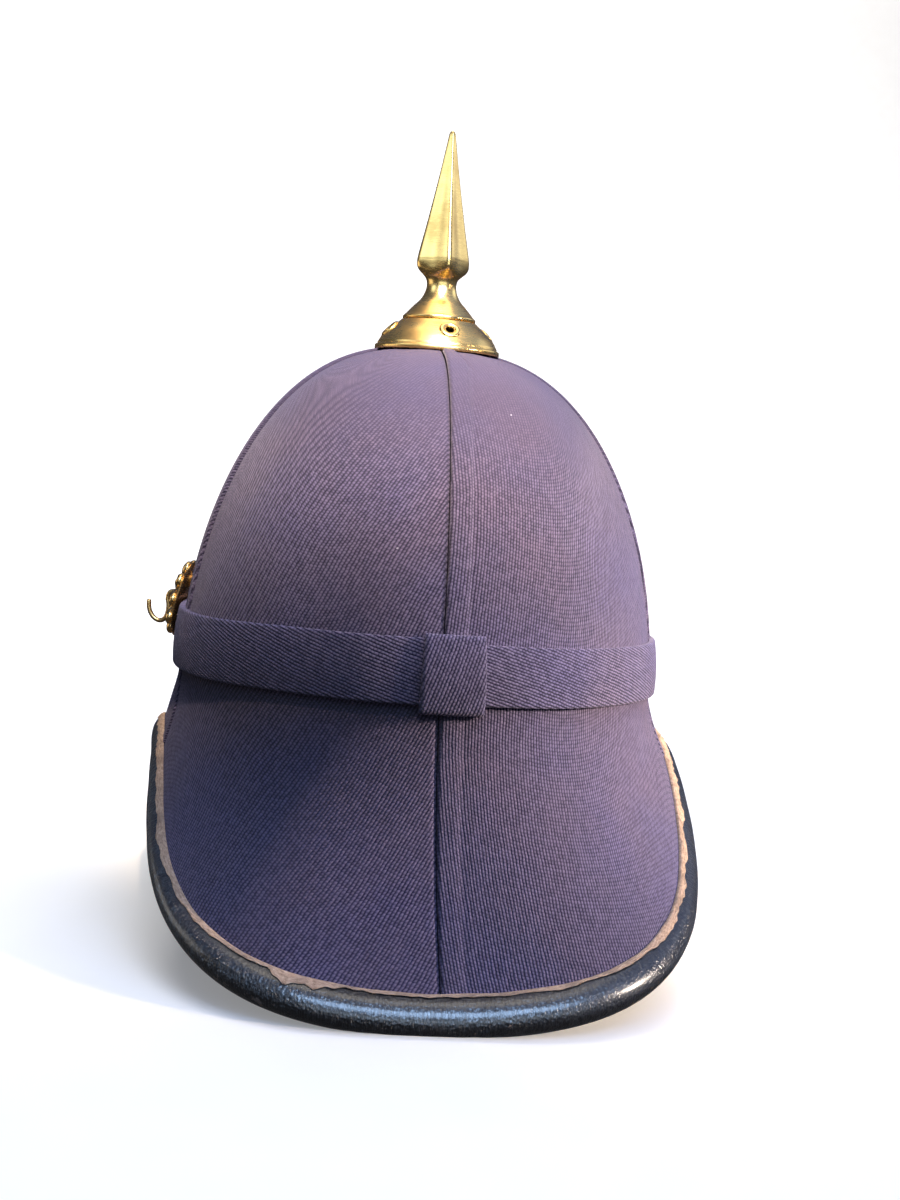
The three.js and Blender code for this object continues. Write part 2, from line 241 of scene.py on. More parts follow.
def smooth_through(rows, steps):
    """A smooth run of points through the rows of a table, with several steps a span."""
    rows = np.asarray(rows, float)
    padded = np.concatenate([2 * rows[:1] - rows[1:2], rows, 2 * rows[-1:] - rows[-2:-1]])
    share = np.linspace(0, 1, steps, endpoint=False)[:, None]
    spans = []
    for k in range(len(rows) - 1):
        before, start, end, after = padded[k:k + 4]
        bend = 2 * before - 5 * start + 4 * end - after
        twist = 3 * (start - end) + after - before
        spans.append(start + 0.5 * share * (end - before + share * (bend + share * twist)))
    return np.concatenate([*spans, rows[-1:]])


# Meshes

class Shape:
    """Collects the points, faces, weave coordinates and material places of one piece."""

    def __init__(self):
        self.points, self.faces, self.weave, self.places = [], [], [], []
        self.count = 0

    def sweep(self, loops, weave=None, ring=False, capped=False, place=None):
        """Faces between neighbouring closed loops of points, as columns x loop x 3."""
        columns, size = loops.shape[:2]
        weave = np.zeros((columns + 1, size + 1, 2)) if weave is None else weave
        place = np.zeros(size, int) if place is None else place
        spans = columns if ring else columns - 1
        column, spot = np.meshgrid(np.arange(spans), np.arange(size), indexing="ij")
        corners = [(column, spot), (column + 1, spot), (column + 1, spot + 1), (column, spot + 1)]
        index = [self.count + (c % columns) * size + s % size for c, s in corners]
        self.faces += np.stack(index, -1).reshape(-1, 4).tolist()
        self.weave.append(np.stack([weave[c, s] for c, s in corners], -2).reshape(-1, 2))
        self.places.append(np.broadcast_to(place, (spans, size)).ravel())
        if capped:
            for c in (0, columns - 1):
                self.strip_cap(c, size, weave, int(place.flat[0]))
        self.points.append(loops.reshape(-1, 3))
        self.count += columns * size

    def strip_cap(self, column, size, weave, place):
        """Closes one end of a run whose loop goes up one face and down the other."""
        for near in range(size // 2 - 1):
            spots = np.array([near, near + 1, size - 2 - near, size - 1 - near])
            self.faces.append((self.count + column * size + spots).tolist())
            self.weave.append(weave[column, spots])
            self.places.append(np.array([place]))

    def fan(self, rim, top, place=0):
        """Closes a loop that was swept last, given by its point numbers, towards one more point."""
        self.points.append(np.asarray(top, float).reshape(1, 3))
        for a, b in zip(rim, [*rim[1:], rim[0]]):
            self.faces.append([a, b, self.count])
            self.weave.append(np.zeros((3, 2)))
            self.places.append(np.array([place]))
        self.count += 1

    def piece(self, name, materials, slot, replaces=(), transform=None):
        """Makes the object, outward facing, riding on the helmet's one body."""
        points = np.concatenate(self.points) * MM
        mesh = bpy.data.meshes.new(name)
        mesh.from_pydata(points.tolist(), [], self.faces)
        mesh.uv_layers.new(name=WEAVE)
        weave = np.concatenate(self.weave).astype(np.float32)
        mesh.uv_layers[WEAVE].data.foreach_set("uv", weave.ravel())
        mesh.polygons.foreach_set("material_index", np.concatenate(self.places).astype(np.int32))
        mesh.polygons.foreach_set("use_smooth", np.ones(len(self.faces), bool))
        face_outward(mesh)
        mesh.set_sharp_from_angle(angle=math.radians(SHARP_DEGREES))
        if transform is not None:
            mesh.transform(transform)
        for material in materials:
            mesh.materials.append(material)
        return seated(bpy.data.objects.new(name, mesh), replaces)


def face_outward(mesh):
    """Turns each closed part of a mesh so that its faces point out."""
    shape = bmesh.new()
    shape.from_mesh(mesh)
    bmesh.ops.recalc_face_normals(shape, faces=shape.faces)
    shape.to_mesh(mesh)
    shape.free()


def seated(piece, replaces=()):
    bpy.context.scene.collection.objects.link(piece)
    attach(piece, "root")
    if replaces:
        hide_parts(*replaces)
    return piece


def lathe_loops(profile, sides):
    """Loops round the z axis, one a side, through the radius and rise of each profile row."""
    turns = round_turns(sides)
    radius, rise = np.asarray(profile, float).T
    return placed(turns[:, None] + 0 * radius, radius + 0 * turns[:, None], rise)


def weave_at(across, up, lean_degrees, spacing):
    """Weave coordinates, counted in twill lines, of a flat cloth whose lines lean like a slash."""
    lean = math.radians(lean_degrees)
    over = across * math.cos(lean) - up * math.sin(lean)
    along = across * math.sin(lean) + up * math.cos(lean)
    return np.stack([over / spacing, along / spacing], -1)


# Materials

def add_node(tree, kind, inputs=None, output=0, **settings):
    """Adds a shader node, links or sets its inputs by name or number, and returns one output."""
    node = tree.nodes.new("ShaderNode" + kind)
    for key, value in settings.items():
        setattr(node, key, value)
    for key, value in (inputs or {}).items():
        if isinstance(value, bpy.types.NodeSocket):
            tree.links.new(value, node.inputs[key])
        else:
            node.inputs[key].default_value = value
    return node.outputs[output]


def math_node(tree, operation, first, second=0.0, third=0.0):
    return add_node(tree, "Math", {0: first, 1: second, 2: third}, operation=operation)


def times(tree, first, second):
    return math_node(tree, "MULTIPLY", first, second)


def times_plus(tree, first, second, third):
    return math_node(tree, "MULTIPLY_ADD", first, second, third)


def hump(tree, value):
    """One rounded rise for each whole step of a value."""
    return math_node(tree, "SINE", times(tree, math_node(tree, "FRACT", value), math.pi))


def noise(tree, place, scale, detail=2.0, roughness=0.5):
    inputs = {"Vector": place, "Scale": scale, "Detail": detail, "Roughness": roughness}
    return add_node(tree, "TexNoise", inputs)


def ramp(tree, factor, stops):
    """Blends colours between the positions of a few stops."""
    made = tree.nodes.new("ShaderNodeValToRGB")
    elements = made.color_ramp.elements
    while len(elements) < len(stops):
        elements.new(0.5)
    for element, (position, colour) in zip(elements, stops):
        element.position = position
        element.color = (*colour, 1)
    tree.links.new(factor, made.inputs[0])
    return made.outputs[0]


def mapped(tree, value, low, high, to_low=0.0, to_high=1.0):
    inputs = {"Value": value, "From Min": low, "From Max": high, "To Min": to_low, "To Max": to_high}
    return add_node(tree, "MapRange", inputs, interpolation_type="SMOOTHSTEP")


def blend_colour(tree, factor, first, second, mode="MIX"):
    inputs = {0: factor, 6: first, 7: second}
    return add_node(tree, "Mix", inputs, output=2, data_type="RGBA", blend_type=mode)


def dress(tree, shader, colour, height, depth, strength=1.0):
    """Gives a shader its colour and the fine relief of a height over a depth in metres."""
    tree.links.new(colour, shader.inputs["Base Color"])
    relief = add_node(tree, "Bump", {"Height": height, "Distance": depth, "Strength": strength})
    tree.links.new(relief, shader.inputs["Normal"])


def new_material(name, **sockets):
    """A Principled material with some fixed sockets, its node tree and its shader."""
    material = bpy.data.materials.new(name)
    material.use_nodes = True
    tree = material.node_tree
    shader = tree.nodes["Principled BSDF"]
    for key, value in sockets.items():
        shader.inputs[key.replace("_", " ")].default_value = value
    return material, tree, shader


def weave_map(tree):
    """The two weave coordinates of a piece."""
    place = add_node(tree, "UVMap", uv_map=WEAVE)
    parts = tree.nodes.new("ShaderNodeSeparateXYZ")
    tree.links.new(place, parts.inputs[0])
    return parts.outputs[0], parts.outputs[1], place


def object_place(tree):
    return add_node(tree, "TexCoord", output=3)


def twill_cloth(name, valley, body, ridge, fade):
    """Wool twill: slanting ribs of short floats, each with its own tone, fuzz and uneven fading."""
    material, tree, shader = new_material(
        name, Roughness=0.88, Sheen_Weight=CLOTH_SHEEN["weight"], Sheen_Roughness=CLOTH_SHEEN["roughness"],
        Sheen_Tint=CLOTH_SHEEN["tint"], Specular_IOR_Level=0.2)
    over, along, place = weave_map(tree)
    over = times_plus(tree, noise(tree, place, 0.05, 3), TWILL["drift"], over)
    over = times_plus(tree, noise(tree, place, 0.45, 2), TWILL["jog"], over)
    rib_number = math_node(tree, "FLOOR", over)
    stepped = times_plus(tree, rib_number, TWILL["step"], times(tree, along, TWILL["floats"]))
    float_number = math_node(tree, "FLOOR", stepped)
    cell = add_node(tree, "CombineXYZ", {0: rib_number, 1: float_number})
    chance = add_node(tree, "TexWhiteNoise", {"Vector": cell}, noise_dimensions="2D")
    fuzz = noise(tree, place, 2.3, 3, 0.7)
    swell = times_plus(tree, hump(tree, stepped), TWILL["swell"], 1 - TWILL["swell"])
    yarn = times(tree, hump(tree, over), swell)
    rise = tree.nodes.new("ShaderNodeSeparateXYZ")
    tree.links.new(object_place(tree), rise.inputs[0])
    nap = mapped(tree, rise.outputs[2], WORN_TOP["from"], WORN_TOP["to"], 1, WORN_TOP["left"])
    yarn = times_plus(tree, math_node(tree, "SUBTRACT", yarn, 0.5), nap, 0.5)
    height = times_plus(tree, fuzz, TWILL["fuzz"], times(tree, yarn, TWILL["yarn"]))
    tone = times_plus(tree, times(tree, chance, nap), TWILL["chance"], height)
    colour = ramp(tree, tone, [(0.2, valley), (0.56, body), (0.95, ridge)])
    cloud = noise(tree, object_place(tree), 9, 4, 0.6)
    worn = mapped(tree, cloud, 0.42, 0.75, 0, fade["amount"])
    colour = blend_colour(tree, worn, colour, (*fade["colour"], 1))
    hue = noise(tree, object_place(tree), 17, 3, 0.55)
    patch = ramp(tree, hue, [(0.32, PATCH["cool"]), (0.5, (1, 1, 1)), (0.68, PATCH["warm"])])
    colour = blend_colour(tree, 1.0, colour, patch, "MULTIPLY")
    speck = add_node(tree, "TexVoronoi", {"Vector": place, "Scale": 0.045, "Randomness": 1.0})
    lint = mapped(tree, speck, 0.012, 0.02, 0.55, 0)
    colour = blend_colour(tree, lint, colour, (*LINT_COLOUR, 1))
    dress(tree, shader, colour, height, CLOTH_BUMP_M)
    return material


TWILL = {"drift": 1.1, "jog": 0.42, "step": 0.37, "floats": 0.8, "swell": 0.45, "yarn": 0.72, "fuzz": 0.34,
         "chance": 0.22}
WORN_TOP = {"from": 0.16, "to": 0.214, "left": 0.17}
PATCH = {"cool": (0.91, 0.95, 1.08), "warm": (1.07, 1.01, 0.94)}
CLOTH_SHEEN = {"weight": 0.15, "roughness": 0.45, "tint": (1.0, 0.88, 0.95, 1)}
CLOTH_BUMP_M = 0.00045
LINT_COLOUR = (0.55, 0.53, 0.55)
FADE = {"amount": 0.25, "colour": (0.095, 0.073, 0.11)}
BAND_FADE = {"amount": 0.15, "colour": (0.06, 0.05, 0.1)}

# From the valleys between the ribs to their ridges
CLOTH_TONES = [(0.008, 0.0066, 0.0135), (0.045, 0.0355, 0.066), (0.165, 0.13, 0.197)]
BAND_TONES = [(0.006, 0.0055, 0.012), (0.042, 0.034, 0.066), (0.178, 0.146, 0.226)]

cloth = twill_cloth("cloth_twill", *CLOTH_TONES, FADE)
band_cloth = twill_cloth("band_twill", *BAND_TONES, BAND_FADE)


def plain_lining():
    """The hidden inner face: plain dark cloth with a fine even weave."""
    material, tree, shader = new_material("plain_inside", Roughness=0.9, Specular_IOR_Level=0.2)
    place = object_place(tree)
    weave = noise(tree, place, 1400, 2)
    cloud = noise(tree, place, 14, 3)
    both = times_plus(tree, weave, 0.5, times(tree, cloud, 0.5))
    colour = ramp(tree, both, [(0.3, (0.016, 0.016, 0.026)), (0.7, (0.04, 0.038, 0.056))])
    dress(tree, shader, colour, weave, 0.0001)
    return material


inside_cloth = plain_lining()


def painted_seam_shade():
    """Painted shade for the bottom of a sewn seam: near-black cloth that stands in for the shade in the
    seam's groove.
    """
    material, tree, shader = new_material("seam_painted_shade", Roughness=0.95, Specular_IOR_Level=0.1)
    grain = noise(tree, object_place(tree), 900, 3, 0.6)
    colour = ramp(tree, grain, [(0.35, (0.004, 0.0035, 0.006)), (0.75, (0.022, 0.018, 0.028))])
    dress(tree, shader, colour, grain, 0.0002)
    return material


seam_painted_shade = painted_seam_shade()


def black_leather():
    """Satin black leather with a fine pebble, cross creases and scuffs down to the tan."""
    material, tree, shader = new_material(
        "black_leather", Specular_IOR_Level=0.8, Coat_Weight=0.9, Coat_Roughness=0.24)
    _, section, weave = weave_map(tree)
    place = object_place(tree)
    pebble = add_node(tree, "TexVoronoi", {"Vector": place, "Scale": 900, "Smoothness": 0.6},
                      feature="SMOOTH_F1")
    grain = noise(tree, place, 420, 4, 0.6)
    stretched = add_node(tree, "VectorMath", {0: weave, 1: (0.9, 0.09, 1)}, operation="MULTIPLY")
    crease = noise(tree, stretched, 1.0, 3, 0.6)
    from_crease = math_node(tree, "ABSOLUTE", math_node(tree, "SUBTRACT", crease, 0.5))
    creases = mapped(tree, from_crease, 0.0, 0.035)
    height = times_plus(tree, pebble, LEATHER["pebble"], times(tree, grain, LEATHER["grain"]))
    height = times_plus(tree, creases, LEATHER["crease"], height)
    low = mapped(tree, section, SCUFF["start"], SCUFF["start"] + SCUFF["fade"])
    high = mapped(tree, section, SCUFF["end"] - SCUFF["fade"], SCUFF["end"], 1, 0)
    cluster = mapped(tree, noise(tree, place, 22, 2), 0.5, 0.68)
    flake = noise(tree, place, 330, 3, 0.7)
    chance = times(tree, times(tree, low, high), cluster)
    scuff = mapped(tree, times_plus(tree, chance, 0.16, flake), 0.70, 0.735)
    shade = ramp(tree, grain, [(0.3, (0.004, 0.0042, 0.006)), (0.75, (0.011, 0.0115, 0.014))])
    colour = blend_colour(tree, scuff, shade, (*SCUFF["colour"], 1))
    dull = mapped(tree, grain, 0.3, 0.75, 0.30, 0.46)
    tree.links.new(times_plus(tree, scuff, 0.4, dull), shader.inputs["Roughness"])
    dress(tree, shader, colour, height, LEATHER["bump_m"])
    return material


LEATHER = {"pebble": 0.7, "grain": 0.5, "crease": 0.35, "bump_m": 0.0005}
SCUFF = {"start": 11, "end": 24, "fade": 4, "colour": (0.23, 0.15, 0.10)}
leather = black_leather()


def raw_leather():
    """The cut, fibrous tan edge of the leather."""
    material, tree, shader = new_material("raw_tan_edge", Roughness=0.85, Specular_IOR_Level=0.2)
    weave = weave_map(tree)[2]
    stretched = add_node(tree, "VectorMath", {0: weave, 1: (0.5, 2.6, 1)}, operation="MULTIPLY")
    fibre = noise(tree, stretched, 1.0, 5, 0.7)
    cloud = noise(tree, weave, 0.12, 3)
    colour = ramp(tree, fibre, TAN["fibres"])
    stained = mapped(tree, cloud, 0.4, 0.72, 0, 0.4)
    colour = blend_colour(tree, stained, colour, (*TAN["stain"], 1))
    dress(tree, shader, colour, fibre, TAN["bump_m"])
    return material


TAN = {
    "fibres": [(0.25, (0.14, 0.078, 0.042)), (0.5, (0.52, 0.335, 0.20)), (0.8, (0.80, 0.60, 0.42))],
    "stain": (0.10, 0.068, 0.05),
    "bump_m": 0.0005,
}
raw_edge_leather = raw_leather()


def brass(name, bright, dark, tarnish, shine, dull):
    """Brass with a hand polish: cloudy gloss, fine rubbing marks and darker tarnish."""
    material, tree, shader = new_material(name, Metallic=1.0)
    place = object_place(tree)
    cloud = noise(tree, place, 60, 4, 0.6)
    rubbed = add_node(tree, "VectorMath", {0: place, 1: (260, 260, 2600)}, operation="MULTIPLY")
    marks = noise(tree, rubbed, 1.0, 3, 0.7)
    stain = mapped(tree, times_plus(tree, marks, 0.25, cloud), 0.55, 0.85, 0, tarnish)
    colour = ramp(tree, stain, [(0.0, bright), (1.0, dark)])
    rubbing = times_plus(tree, marks, 0.4, times(tree, cloud, 0.6))
    tree.links.new(mapped(tree, rubbing, 0.3, 0.75, shine, dull), shader.inputs["Roughness"])
    dress(tree, shader, colour, marks, 0.00002, 0.5)
    return material


spike_brass = brass("polished_brass", (0.95, 0.62, 0.21), (0.66, 0.36, 0.10), 0.6, 0.22, 0.38)
rosette_brass = brass("worn_brass", (0.72, 0.45, 0.17), (0.26, 0.14, 0.055), 0.8, 0.2, 0.4)


# Cloth panels over the shell, with a lapped seam between each two

SEAM_STEPS = np.array([0, 0.12, 0.3, 0.55, 0.9, 1.4, 2.1, 3.2, 5, 6.8, 7.8, 8.6, 9.4, 10.4, 12])
PANEL_MIDDLE = 34
PANEL_ROWS = {"brim": 40, "crown": 72}
NARROW_ARC = 60
LAP = {"height": 1.2, "brim_share": 0.4, "grows": (0.8, 1.3), "width": 7.6, "fade": 0.8, "roll": 1.2,
       "drop": 2.6}
LAP_EDGE = {"from_seam": 8.2, "depth": 0.6, "width": 0.9}
GROOVE = {"depth": 1.5, "width": 0.8}
UNEVEN = 0.22
# Material place of the painted seam shade, a near-black cloth for the groove at each seam
SEAM_SHADE_PLACE = 2

# Lean of the twill from upright, by distance up the shell from the rim
LEFT_LEAN = [(0, 27), (70, 29), (135, 23), (190, 29), (260, 34), (320, 38)]
RIGHT_LEAN = [(0, -7), (75, -6), (135, 6), (165, 3), (195, -4), (235, -13), (320, -24)]
# Lean and spacing of the twill on a panel whose first or last edge is at the rear or front seam
SEAM_TWILL = [(LEFT_LEAN, 1.14), (RIGHT_LEAN, 1.08)]
SEAMS = [0, SIDE_SEAM_DEGREES, 180, 360 - SIDE_SEAM_DEGREES, 360]
# Each panel's place, and whether its first and last edges lap over their neighbours
PANEL_LAPS = [
    ("back_left", (False, False)), ("front_left", (True, False)), ("front_right", (True, True)),
    ("back_right", (False, True)),
]
PANELS = [
    {"node": f"panel_{place}", "from": SEAMS[k], "to": SEAMS[k + 1], "laps": laps, "seam_end": k % 2}
    for k, (place, laps) in enumerate(PANEL_LAPS)
]


def seam_relief(distance, row, laps):
    """How far cloth stands off the shell near a seam: a folded lap, or the groove beside it."""
    if not laps:
        return -GROOVE["depth"] * np.exp(-(distance / GROOVE["width"]) ** 2) + 0 * row
    width, fade = LAP["width"], LAP["fade"]
    strip = LAP["height"] * (1 - smoothstep(width - fade, width + fade, distance))
    pressed = LAP_EDGE["depth"] * np.exp(-((distance - LAP_EDGE["from_seam"]) / LAP_EDGE["width"]) ** 2)
    full = LAP["brim_share"] + (1 - LAP["brim_share"]) * smoothstep(*LAP["grows"], row)
    turned = np.clip(1 - distance / LAP["roll"], 0, 1)
    return (strip - pressed) * full - LAP["drop"] * (1 - np.sqrt(1 - turned ** 2))


def cloth_panel(panel):
    start, end = math.radians(panel["from"]), math.radians(panel["to"])
    rows = np.concatenate([np.linspace(0, 1, PANEL_ROWS["brim"], endpoint=False),
                           np.linspace(1, 2, PANEL_ROWS["crown"])])
    middle = shell_line(np.full_like(rows, (start + end) / 2), rows)
    arc = (end - start) * np.hypot(middle[:, 0], middle[:, 1])
    near = SEAM_STEPS[:, None] * np.minimum(1, arc / NARROW_ARC)
    share = np.linspace(0, 1, PANEL_MIDDLE + 2)[1:-1, None]
    between = near[-1] + (arc - 2 * near[-1]) * share
    position = np.concatenate([near, between, arc - near[::-1]])
    angle = start + (end - start) * position / arc
    row = np.broadcast_to(rows, angle.shape)

    far = np.full(PANEL_MIDDLE + len(SEAM_STEPS), NARROW_ARC)
    relief = (seam_relief(np.concatenate([SEAM_STEPS, far])[:, None], row, panel["laps"][0])
              + seam_relief(np.concatenate([far, SEAM_STEPS[::-1]])[:, None], row, panel["laps"][1]))
    relief = relief + UNEVEN * np.sin(9 * angle + 3 * row) * np.sin(7 * row + 2)
    outer = stand_off(shell_line, angle, row, relief)
    inner = stand_off(shell_line, angle, row, np.full_like(angle, -SHELL_WALL))

    across = -position if panel["seam_end"] == 0 else arc - position
    steps = np.linalg.norm(np.diff(outer, axis=1), axis=-1)
    up = np.concatenate([0 * steps[:, :1], np.cumsum(steps, 1)], 1)
    leans, spacing = SEAM_TWILL[panel["seam_end"]]
    lean_run, lean = np.array(leans, float).T
    fine = np.linspace(0, lean_run[-1], 200)
    slope = np.tan(np.radians(np.interp(fine, lean_run, lean)))
    shift = np.concatenate([[0], np.cumsum((slope[1:] + slope[:-1]) / 2 * np.diff(fine))])
    upright = math.cos(math.radians(np.mean(lean)))
    over = (across - np.interp(up, fine, shift)) * upright
    weave = np.stack([over, up / upright], -1) / spacing

    loops = np.concatenate([outer, inner[:, ::-1]], 1)
    weave = np.concatenate([weave, weave[:, ::-1], weave[:, :1]], 1)
    weave = np.concatenate([weave, weave[-1:]])
    place = np.where(np.arange(loops.shape[1]) < len(rows), 0, 1) + np.zeros((len(loops) - 1, 1), int)
    # The cloth's edge columns at each seam take the near-black painted shade of the groove
    place[0], place[-1] = SEAM_SHADE_PLACE, SEAM_SHADE_PLACE
    shape = Shape()
    shape.sweep(loops, weave, capped=True, place=place)
    name = panel["node"].replace("panel", "cloth")
    return shape.piece(name, [cloth, inside_cloth, seam_painted_shade], "cloth", [panel["node"]])


for panel in PANELS:
    cloth_panel(panel)


# Band and keeper

GAP = 0.3
BAND = {"height": 22, "hang": 1, "side_dip": 2.4, "narrowing": 1.7, "stand_off": 0.5, "thickness": 2.4,
        "edge": 0.9, "puff": 0.3, "face_rows": 14}
BAND_END = {"under_keeper": (0.01, 0.06), "fades": (2.6, 1.8)}
BAND_STEP = {"height": 0.75, "reach": 0.9}
BAND_COLUMNS = 360
BAND_TWILL = {"lean": -72.5, "spacing": 1.16}
KEEPER = {"width": 22.8, "overhang": 2, "thickness": 2.0, "degrees": -1.9, "taper": 0.06, "puff": 0.8,
          "edge": 1.5, "edge_drop": 0.8, "roll": 2.2, "face_rows": 12}
KEEPER_COLUMNS = 30
KEEPER_TWILL = {"lean": 19, "spacing": 1.18}
FOLD_STEPS = 5


def folded_edge(rise, out, radius, start_degrees):
    """A quarter turn round a cloth fold, as rise and out."""
    turns = np.radians(start_degrees + np.linspace(0, 90, FOLD_STEPS))
    return np.stack([rise + radius * np.sin(turns), out + radius * np.cos(turns)], -1)


def band_step(angle):
    """The band's two ends meet under the keeper at slightly different heights."""
    turn = turn_from(angle, KEEPER["degrees"])
    hidden = smoothstep(*BAND_END["under_keeper"], np.abs(turn))
    return BAND_STEP["height"] * np.sign(turn) * hidden * np.exp(-(turn / BAND_STEP["reach"]) ** 2)


def overlapped_end(angle):
    """Where the band is its narrower end: from the keeper round the right side."""
    turn = -turn_from(angle, KEEPER["degrees"])
    return smoothstep(*BAND_END["under_keeper"], turn) * smoothstep(*BAND_END["fades"], turn)


def face_puff(low, high, out, part):
    """The slightly swollen middle of a cloth face, as rise and out."""
    share = np.linspace(0, 1, part["face_rows"])[1:-1]
    return np.stack([low + (high - low) * share, out + part["puff"] * np.sin(math.pi * share)], -1)


def make_band():
    low, high = -BAND["hang"], BAND["height"]
    inner = BAND["stand_off"]
    outer = inner + BAND["thickness"]
    edge = BAND["edge"]
    section = np.concatenate([
        [[low, inner]], folded_edge(low + edge, outer - edge, edge, -90),
        face_puff(low + edge, high - edge, outer, BAND),
        folded_edge(high - edge, outer - edge, edge, 0), [[high, inner]],
    ])
    angle = round_turns(BAND_COLUMNS) + math.radians(KEEPER["degrees"])
    spread = angle[:, None] + 0 * section[:, 0]
    rise = section[:, 0] + band_step(spread) + wobble(spread, "band_rise")
    rise = rise - BAND["side_dip"] * np.sin(spread) ** 2
    share = (high - section[:, 0]) / (high - low)
    rise = rise + BAND["narrowing"] * share * overlapped_end(spread)
    loops = stand_off(crown_line, spread, rise, section[:, 1] + wobble(spread, "band_out"))
    closed = np.append(angle, angle[0] + 2 * math.pi)
    run = run_along(placed(closed, waist_radius(closed) + outer, 0))
    up = np.append(section[:, 0], section[0, 0]) + 0 * run[:, None]
    weave = weave_at(-run[:, None] + 0 * up, up, BAND_TWILL["lean"], BAND_TWILL["spacing"])
    shape = Shape()
    shape.sweep(loops, weave, ring=True)
    piece = shape.piece("cloth_band", [band_cloth], "band_cloth", ["band"])
    return piece


def make_keeper():
    inner = BAND["stand_off"]
    under = inner + BAND["thickness"] + GAP
    face_out = under + KEEPER["thickness"]
    foot = -BAND["hang"] - GAP
    head = BAND["height"] + GAP
    lip = KEEPER["overhang"]
    low, high = foot - lip, head + lip
    roll = KEEPER["roll"]
    front = np.concatenate([
        [[low, inner]], folded_edge(low + roll, face_out - roll, roll, -90),
        face_puff(low + roll, high - roll, face_out, KEEPER),
        folded_edge(high - roll, face_out - roll, roll, 0), [[high, inner]],
    ])
    back_rise = np.linspace(foot, head, len(front) - 2)
    back_face = np.stack([back_rise, under + 0 * back_rise], -1)
    back = np.concatenate([[[foot, inner]], back_face, [[head, inner]]])
    section = np.concatenate([front, back[::-1]])

    across = np.sin(np.linspace(-math.pi / 2, math.pi / 2, KEEPER_COLUMNS)) * KEEPER["width"] / 2
    middle = (low + high) / 2
    widening = 1 - KEEPER["taper"] * (section[:, 0] - middle) / (high - low)
    place = across[:, None] * widening
    angle = math.radians(KEEPER["degrees"]) - place / (WAIST["half_length"] + face_out)
    from_edge = KEEPER["width"] / 2 - np.abs(across)
    turned = np.clip(1 - from_edge / KEEPER["edge"], 0, 1)
    round_off = (1 - np.sqrt(1 - turned ** 2)) * KEEPER["thickness"] * KEEPER["edge_drop"]
    is_front = (np.arange(len(section)) < len(front)) & (section[:, 1] > under)
    out = section[:, 1] - round_off[:, None] * is_front
    rise = section[:, 0] + 0 * place
    loops = stand_off(crown_line, angle, rise, out)
    steps = run_along(section)
    run = np.append(steps, steps[-1])
    sideways = np.append(place, place[:, :1], 1)
    sideways = np.concatenate([sideways, sideways[-1:]])
    weave = weave_at(sideways, run + 0 * sideways, KEEPER_TWILL["lean"], KEEPER_TWILL["spacing"])
    shape = Shape()
    shape.sweep(loops, weave, capped=True)
    piece = shape.piece("cloth_keeper", [band_cloth], "band_cloth", ["keeper"])
    return piece


make_band()
make_keeper()


# Leather binding and its raw edge

BINDING_COLUMNS = 480
BINDING_LIP = 9
BULGE_ROWS = 5
BINDING_ROLL = [
    (9, 0.3), (8.9, 1.2), (7.6, 2.2), (4.6, 3.4), (1.4, 3.5), (-1.9, 1.8),
    (-3.6, -1.8), (-2.9, -5.3), (0.4, -7.9), (9, -6.3),
]
RAW_EDGE = {"top": 9.9, "width": 1.9, "least": 1.0, "thick": 0.55, "cloth_share": 0.25}
# Share of the way down from the edge on the cloth to the torn edge on the leather, and stand-off
RAW_SECTION = [(0, 0.1), (0.02, 0.9), (0.3, 1.55), (0.62, 1.95), (0.92, 2.2), (1, 1.9), (0.6, 0.9)]
RAW_COLUMNS = 900
# Place in degrees, reach in degrees and extra width of each tear
TORN = [(19.3, 1.3, 3.2), (15.8, 2.8, 2.0), (-33, 4, 0.9), (52, 3, 0.7), (141, 3, 1.2), (214, 2.5, 0.9)]


def on_ground(points):
    """The leather is pressed flat where the helmet stands on it."""
    points[..., 2] = np.maximum(points[..., 2], 0)
    return points


def rim_weave(angle, down):
    """Weave coordinates in millimetres, along the rim and down a section."""
    closed = np.append(angle, 2 * math.pi)
    run = run_along(placed(closed, rim_radius(closed), 0))[:, None]
    return np.stack([run + 0 * down, down + 0 * run], -1)


def make_binding():
    inside = -SHELL_WALL - GAP
    outer = smooth_through(BINDING_ROLL, 5)
    hidden = [(BINDING_LIP, inside), (-GAP, inside), (-GAP, GAP), (BINDING_LIP / 2, GAP)]
    section = np.concatenate([outer, hidden])
    angle = round_turns(BINDING_COLUMNS)
    spread = angle[:, None] + 0 * section[:, 0]
    full = 1 + wobble(spread, "leather") * (section[:, 1] > 1)
    loops = on_ground(stand_off(brim_line, spread, section[:, 0] + 0 * spread, section[:, 1] * full))
    down = run_along(section)
    shape = Shape()
    shape.sweep(loops, rim_weave(angle, np.append(down, down[-1])), ring=True)
    return shape.piece("leather_binding", [leather], "leather", ["brim_binding"])


